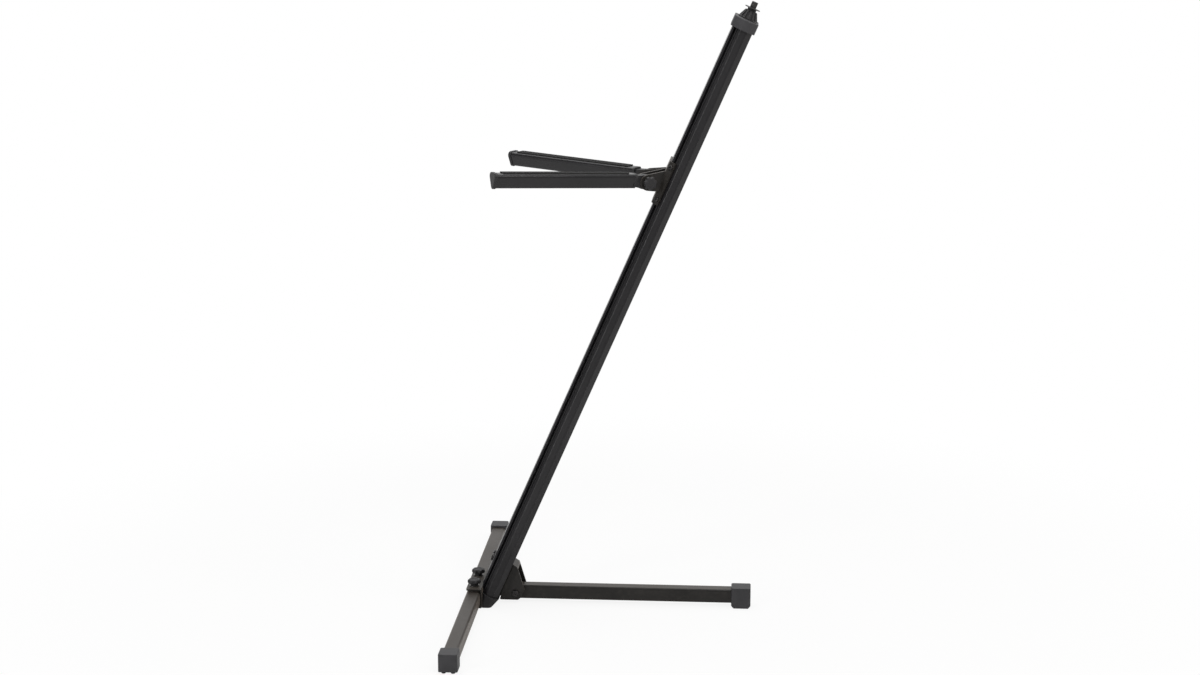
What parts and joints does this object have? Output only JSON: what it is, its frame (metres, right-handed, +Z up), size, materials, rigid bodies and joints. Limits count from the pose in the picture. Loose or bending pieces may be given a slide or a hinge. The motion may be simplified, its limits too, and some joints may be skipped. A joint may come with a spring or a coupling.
{
  "type": "column keyboard stand",
  "caption": "Column keyboard stand: a leaning slotted column on folding legs, with a sliding tier bracket, tilting support arms and a boom clutch on top.",
  "frame": {"origin": "on the floor, in the middle of the stand's bounding box", "axes": "+X to the player's right, +Y away from the player, +Z up"},
  "size_m": [0.818, 0.5544, 1.1652],
  "materials": {
    "black_extrusion": "satin black anodised with fine lines along its length",
    "black_steel": "satin black powder coat",
    "black_plastic": "fine moulded grain",
    "screw_steel": "blackened steel",
    "plain_steel": "zinc plated",
    "grip_rubber": "ribbed"
  },
  "bodies": {
    "frame": {"column": "black_extrusion", "column_boot": "black_plastic", "leg_channel": "black_steel", "channel_screws": "screw_steel", "front_screws": "screw_steel", "leg_pivot_bolts": "screw_steel", "leg_wear_washers": "black_plastic", "leg_spacers": "plain_steel", "hub_washers": "plain_steel", "rear_bracket": "black_steel", "bracket_screws": "screw_steel", "rear_pivot_bolt": "screw_steel", "rear_pivot_bushes": "black_plastic", "rear_knob_washer": "plain_steel", "top_collar": "black_plastic", "collar_screws": "screw_steel", "boom_post": "screw_steel", "post_nut": "plain_steel", "post_washer": "screw_steel"},
    "rear_leg": {"rear_leg_tube": "black_steel", "rear_leg_sleeve": "plain_steel", "rear_foot": "black_plastic"},
    "front_leg_right": {"front_leg_right": "black_steel", "front_leg_sleeve_right": "plain_steel", "front_foot_right": "black_plastic"},
    "front_leg_left": {"front_leg_left": "black_steel", "front_leg_sleeve_left": "plain_steel", "front_foot_left": "black_plastic"},
    "hub_knob_right": {"hub_knob_right": "black_plastic"},
    "hub_knob_left": {"hub_knob_left": "black_plastic"},
    "rear_clamp_knob": {"rear_clamp_knob": "black_plastic"},
    "carriage": {"tier_saddle": "black_steel", "slot_screws": "screw_steel", "slot_nuts": "plain_steel", "arm_pivot_bolts": "screw_steel", "arm_washers": "plain_steel"},
    "tier_clamp": {"tier_clamp_knob": "black_plastic", "tier_clamp_stud": "screw_steel"},
    "arm_right": {"arm_right": "black_extrusion", "arm_knuckle_right": "black_plastic", "arm_cap_right": "black_plastic", "arm_pad_right": "grip_rubber"},
    "arm_left": {"arm_left": "black_extrusion", "arm_knuckle_left": "black_plastic", "arm_cap_left": "black_plastic", "arm_pad_left": "grip_rubber"},
    "tilt_knob_right": {"tilt_knob_right": "black_plastic"},
    "tilt_knob_left": {"tilt_knob_left": "black_plastic"},
    "boom_clutch": {"boom_clutch": "black_plastic"}
  },
  "joints": [
    {"name": "rear_leg_fold", "type": "hinge", "parent": "frame", "child": "rear_leg", "pos_m": [0, -0.18071, 0.0225], "axis": [1, 0, 0], "range_deg": [0, 66]},
    {"name": "front_leg_fold_right", "type": "hinge", "parent": "frame", "child": "front_leg_right", "pos_m": [0.0325, -0.25971, 0.0195], "axis": [0, 0, 1], "range_deg": [-90, 0]},
    {"name": "front_leg_fold_left", "type": "hinge", "parent": "frame", "child": "front_leg_left", "pos_m": [-0.0325, -0.25971, 0.0195], "axis": [0, 0, 1], "range_deg": [0, 90]},
    {"name": "hub_knob_turn_right", "type": "hinge", "parent": "frame", "child": "hub_knob_right", "pos_m": [0.0325, -0.25971, 0.0415], "axis": [0, 0, 1], "range_deg": [0, 360]},
    {"name": "hub_knob_turn_left", "type": "hinge", "parent": "frame", "child": "hub_knob_left", "pos_m": [-0.0325, -0.25971, 0.0415], "axis": [0, 0, 1], "range_deg": [0, 360]},
    {"name": "rear_clamp_turn", "type": "hinge", "parent": "frame", "child": "rear_clamp_knob", "pos_m": [-0.0235, -0.18071, 0.0225], "axis": [-1, 0, 0], "range_deg": [0, 360]},
    {"name": "tier_height", "type": "slide", "parent": "frame", "child": "carriage", "axis": [0, 0.4011, 0.916], "range_m": [-0.75, 0.265]},
    {"name": "tier_clamp_turn", "type": "hinge", "parent": "carriage", "child": "tier_clamp", "pos_m": [0, 0.07519, 0.83142], "axis": [0, -0.916, 0.4011], "range_deg": [0, 360]},
    {"name": "arm_tilt_right", "type": "hinge", "parent": "carriage", "child": "arm_right", "pos_m": [0.036, 0.07042, 0.834], "axis": [-0.9063, -0.4226, 0], "range_deg": [-10, 87]},
    {"name": "arm_tilt_left", "type": "hinge", "parent": "carriage", "child": "arm_left", "pos_m": [-0.036, 0.07042, 0.834], "axis": [-0.9063, 0.4226, 0], "range_deg": [-10, 87]},
    {"name": "tilt_knob_turn_right", "type": "hinge", "parent": "carriage", "child": "tilt_knob_right", "pos_m": [0.05032, 0.0771, 0.834], "axis": [0.9063, 0.4226, 0], "range_deg": [0, 360]},
    {"name": "tilt_knob_turn_left", "type": "hinge", "parent": "carriage", "child": "tilt_knob_left", "pos_m": [-0.05032, 0.0771, 0.834], "axis": [-0.9063, 0.4226, 0], "range_deg": [0, 360]},
    {"name": "boom_clutch_turn", "type": "hinge", "parent": "frame", "child": "boom_clutch", "pos_m": [0, 0.2551, 1.13232], "axis": [0, 0.4011, 0.916], "continuous": true}
  ]
}
